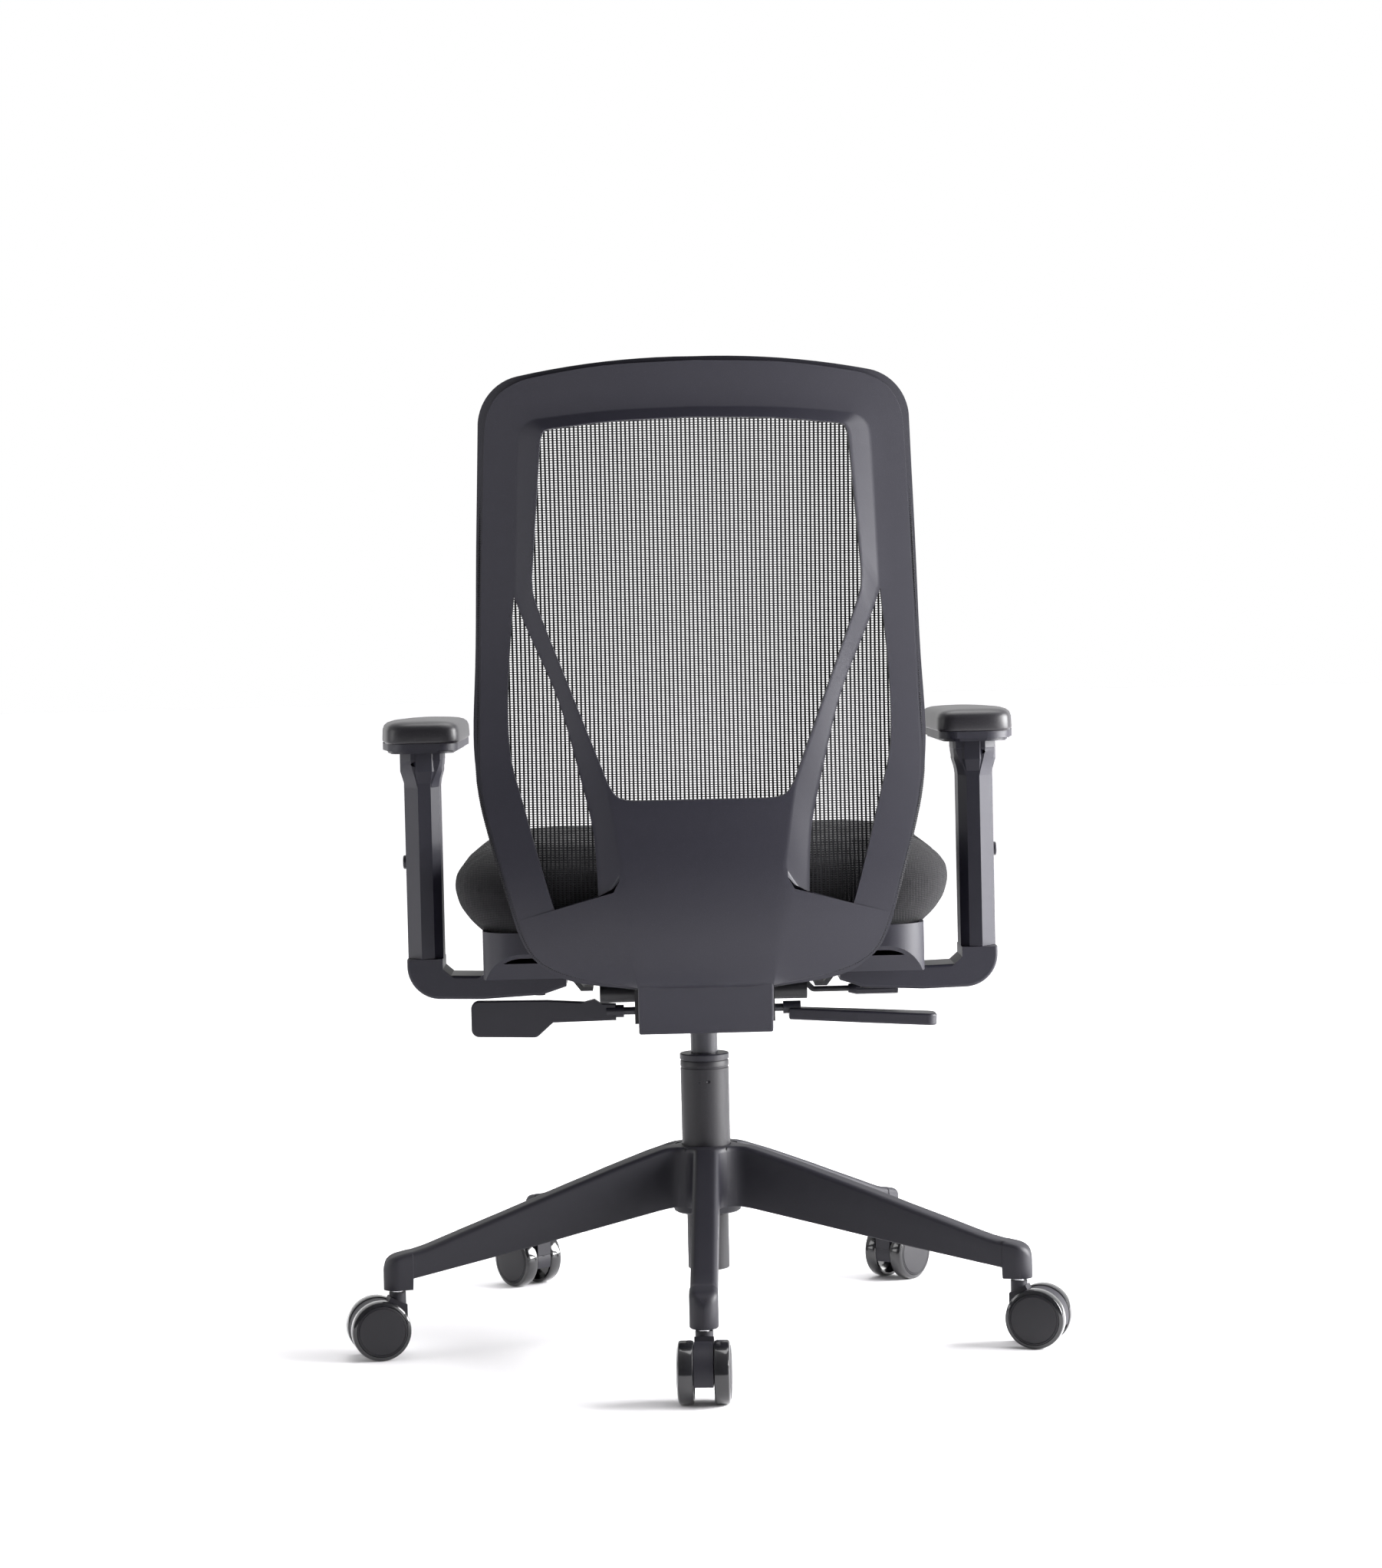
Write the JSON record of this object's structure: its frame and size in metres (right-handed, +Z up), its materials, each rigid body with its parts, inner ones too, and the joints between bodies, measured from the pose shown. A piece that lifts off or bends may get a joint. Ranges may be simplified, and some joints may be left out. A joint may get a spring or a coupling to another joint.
{
  "type": "swivel office chair",
  "caption": "Task chair with a mesh back, upholstered seat, height-adjustable arms, gas lift, synchronised tilt and a star base on twin-wheel casters.",
  "frame": {"origin": "on the floor, on the swivel axis", "axes": "+Z up, +Y the way the sitter faces, +X to the sitter's right"},
  "size_m": [0.7358, 0.7061, 0.9856],
  "materials": {
    "base_nylon": "fine grained glass-filled nylon, satin",
    "frame_nylon": "fine grained moulded nylon, satin, faint violet cast",
    "soft_pad": "skinned polyurethane foam, fine grain",
    "lever_plastic": "moulded plastic, satin",
    "wheel_plastic": "glossy moulded nylon tread, matte disc",
    "column_paint": "black powder coat",
    "tube_black": "burnished black steel",
    "mechanism_paint": "black powder-coated steel",
    "bright_steel": "zinc-plated turned steel",
    "back_mesh_fabric": "open elastic mesh, black",
    "seat_fabric": "fine ribbed black upholstery"
  },
  "bodies": {
    "base": {"star_base": "base_nylon", "gas_column": "column_paint", "guide_bush": "lever_plastic", "thrust_bearing": "bright_steel"},
    "piston": {"piston_rod": "bright_steel", "piston_head": "bright_steel"},
    "mechanism": {"pressure_tube": "tube_black", "mechanism_housing": "mechanism_paint", "tilt_axle": "mechanism_paint", "seat_axle": "bright_steel", "tension_spring": "bright_steel"},
    "valve": {"valve_pin": "bright_steel"},
    "height_control": {"height_lever_shaft": "bright_steel", "height_lever": "lever_plastic"},
    "lock_control": {"lock_lever_shaft": "bright_steel", "lock_lever": "lever_plastic"},
    "tension_control": {"tension_crank": "mechanism_paint", "crank_grip": "lever_plastic"},
    "back": {"back_frame": "frame_nylon", "mesh_frame": "frame_nylon", "back_mesh": "back_mesh_fabric", "back_bracket": "mechanism_paint", "back_bolts": "mechanism_paint"},
    "seat": {"seat_bracket": "mechanism_paint", "seat_pan": "frame_nylon", "seat_cushion": "seat_fabric", "seat_bolts": "bright_steel", "arm_bolts": "mechanism_paint", "arm_upright_right": "frame_nylon", "arm_upright_left": "frame_nylon"},
    "arm_right": {"arm_sleeve_right": "frame_nylon"},
    "button_right": {"arm_button_right": "lever_plastic"},
    "pad_right": {"arm_pad_base_right": "frame_nylon", "arm_pad_right": "soft_pad"},
    "arm_left": {"arm_sleeve_left": "frame_nylon"},
    "button_left": {"arm_button_left": "lever_plastic"},
    "pad_left": {"arm_pad_base_left": "frame_nylon", "arm_pad_left": "soft_pad"},
    "caster_1": {"caster_1_fork": "base_nylon", "caster_1_pins": "bright_steel"},
    "caster_1_wheel_a": {"caster_1_wheel_a": "wheel_plastic"},
    "caster_1_wheel_b": {"caster_1_wheel_b": "wheel_plastic"},
    "caster_2": {"caster_2_fork": "base_nylon", "caster_2_pins": "bright_steel"},
    "caster_2_wheel_a": {"caster_2_wheel_a": "wheel_plastic"},
    "caster_2_wheel_b": {"caster_2_wheel_b": "wheel_plastic"},
    "caster_3": {"caster_3_fork": "base_nylon", "caster_3_pins": "bright_steel"},
    "caster_3_wheel_a": {"caster_3_wheel_a": "wheel_plastic"},
    "caster_3_wheel_b": {"caster_3_wheel_b": "wheel_plastic"},
    "caster_4": {"caster_4_fork": "base_nylon", "caster_4_pins": "bright_steel"},
    "caster_4_wheel_a": {"caster_4_wheel_a": "wheel_plastic"},
    "caster_4_wheel_b": {"caster_4_wheel_b": "wheel_plastic"},
    "caster_5": {"caster_5_fork": "base_nylon", "caster_5_pins": "bright_steel"},
    "caster_5_wheel_a": {"caster_5_wheel_a": "wheel_plastic"},
    "caster_5_wheel_b": {"caster_5_wheel_b": "wheel_plastic"}
  },
  "joints": [
    {"name": "swivel", "type": "hinge", "parent": "base", "child": "piston", "pos_m": [0, 0, 0.07], "axis": [0, 0, 1], "continuous": true},
    {"name": "lift", "type": "slide", "parent": "piston", "child": "mechanism", "axis": [0, 0, 1], "range_m": [0, 0.1]},
    {"name": "valve_press", "type": "slide", "parent": "mechanism", "child": "valve", "axis": [0, 0, -1], "range_m": [0, 0.0046]},
    {"name": "height_lever_pull", "type": "hinge", "parent": "mechanism", "child": "height_control", "pos_m": [0, -0.02, 0.337], "axis": [-1, 0, 0], "range_deg": [0, 8], "stiffness_Nm_per_rad": 3, "springref_deg": -14.32},
    {"name": "lock_lever_turn", "type": "hinge", "parent": "mechanism", "child": "lock_control", "pos_m": [0, -0.02, 0.337], "axis": [1, 0, 0], "range_deg": [0, 70]},
    {"name": "tension_crank_turn", "type": "hinge", "parent": "mechanism", "child": "tension_control", "pos_m": [0, 0.045, 0.359], "axis": [1, 0, 0], "continuous": true},
    {"name": "back_tilt", "type": "hinge", "parent": "mechanism", "child": "back", "pos_m": [0, -0.04, 0.357], "axis": [1, 0, 0], "range_deg": [0, 20], "stiffness_Nm_per_rad": 80, "springref_deg": -25.78},
    {"name": "seat_tilt", "type": "hinge", "parent": "mechanism", "child": "seat", "pos_m": [0, 0.02, 0.358], "axis": [1, 0, 0], "range_deg": [0, 4]},
    {"name": "arm_height_right", "type": "slide", "parent": "seat", "child": "arm_right", "axis": [0, 0, 1], "range_m": [0, 0.07]},
    {"name": "arm_button_press_right", "type": "slide", "parent": "arm_right", "child": "button_right", "axis": [-1, 0, 0], "range_m": [0, 0.003], "stiffness_N_per_m": 600, "springref_m": -0.003},
    {"name": "pad_slide_right", "type": "slide", "parent": "arm_right", "child": "pad_right", "axis": [0, 1, 0], "range_m": [-0.025, 0.025]},
    {"name": "arm_height_left", "type": "slide", "parent": "seat", "child": "arm_left", "axis": [0, 0, 1], "range_m": [0, 0.07]},
    {"name": "arm_button_press_left", "type": "slide", "parent": "arm_left", "child": "button_left", "axis": [1, 0, 0], "range_m": [0, 0.003], "stiffness_N_per_m": 600, "springref_m": -0.003},
    {"name": "pad_slide_left", "type": "slide", "parent": "arm_left", "child": "pad_left", "axis": [0, 1, 0], "range_m": [-0.025, 0.025]},
    {"name": "caster_1_swivel", "type": "hinge", "parent": "base", "child": "caster_1", "pos_m": [-0.01037, -0.32984, 0.07], "axis": [0, 0, 1], "continuous": true},
    {"name": "caster_1_roll_a", "type": "hinge", "parent": "caster_1", "child": "caster_1_wheel_a", "pos_m": [-0.01127, -0.34982, 0.03], "axis": [0.999, -0.0454, 0], "continuous": true},
    {"name": "caster_1_roll_b", "type": "hinge", "parent": "caster_1", "child": "caster_1_wheel_b", "pos_m": [-0.01127, -0.34982, 0.03], "axis": [0.999, -0.0454, 0], "continuous": true},
    {"name": "caster_2_swivel", "type": "hinge", "parent": "base", "child": "caster_2", "pos_m": [0.31049, -0.11178, 0.07], "axis": [0, 0, 1], "continuous": true},
    {"name": "caster_2_roll_a", "type": "hinge", "parent": "caster_2", "child": "caster_2_wheel_a", "pos_m": [0.32942, -0.11823, 0.03], "axis": [0.3223, 0.9466, 0], "continuous": true},
    {"name": "caster_2_roll_b", "type": "hinge", "parent": "caster_2", "child": "caster_2_wheel_b", "pos_m": [0.32942, -0.11823, 0.03], "axis": [0.3223, 0.9466, 0], "continuous": true},
    {"name": "caster_3_swivel", "type": "hinge", "parent": "base", "child": "caster_3", "pos_m": [0.20226, 0.26075, 0.07], "axis": [0, 0, 1], "continuous": true},
    {"name": "caster_3_roll_a", "type": "hinge", "parent": "caster_3", "child": "caster_3_wheel_a", "pos_m": [0.21504, 0.27614, 0.03], "axis": [-0.7694, 0.6388, 0], "continuous": true},
    {"name": "caster_3_roll_b", "type": "hinge", "parent": "caster_3", "child": "caster_3_wheel_b", "pos_m": [0.21504, 0.27614, 0.03], "axis": [-0.7694, 0.6388, 0], "continuous": true},
    {"name": "caster_4_swivel", "type": "hinge", "parent": "base", "child": "caster_4", "pos_m": [-0.18549, 0.27294, 0.07], "axis": [0, 0, 1], "continuous": true},
    {"name": "caster_4_roll_a", "type": "hinge", "parent": "caster_4", "child": "caster_4_wheel_a", "pos_m": [-0.19895, 0.28773, 0.03], "axis": [-0.7396, -0.673, 0], "continuous": true},
    {"name": "caster_4_roll_b", "type": "hinge", "parent": "caster_4", "child": "caster_4_wheel_b", "pos_m": [-0.19895, 0.28773, 0.03], "axis": [-0.7396, -0.673, 0], "continuous": true},
    {"name": "caster_5_swivel", "type": "hinge", "parent": "base", "child": "caster_5", "pos_m": [-0.3169, -0.09207, 0.07], "axis": [0, 0, 1], "continuous": true},
    {"name": "caster_5_roll_a", "type": "hinge", "parent": "caster_5", "child": "caster_5_wheel_a", "pos_m": [-0.33637, -0.09663, 0.03], "axis": [0.2284, -0.9736, 0], "continuous": true},
    {"name": "caster_5_roll_b", "type": "hinge", "parent": "caster_5", "child": "caster_5_wheel_b", "pos_m": [-0.33637, -0.09663, 0.03], "axis": [0.2284, -0.9736, 0], "continuous": true}
  ],
  "couplings": [
    {"joint": "seat_tilt", "follows": "back_tilt", "ratio": 0.2},
    {"joint": "valve_press", "follows": "height_lever_pull", "m_per_rad": 0.0322}
  ]
}
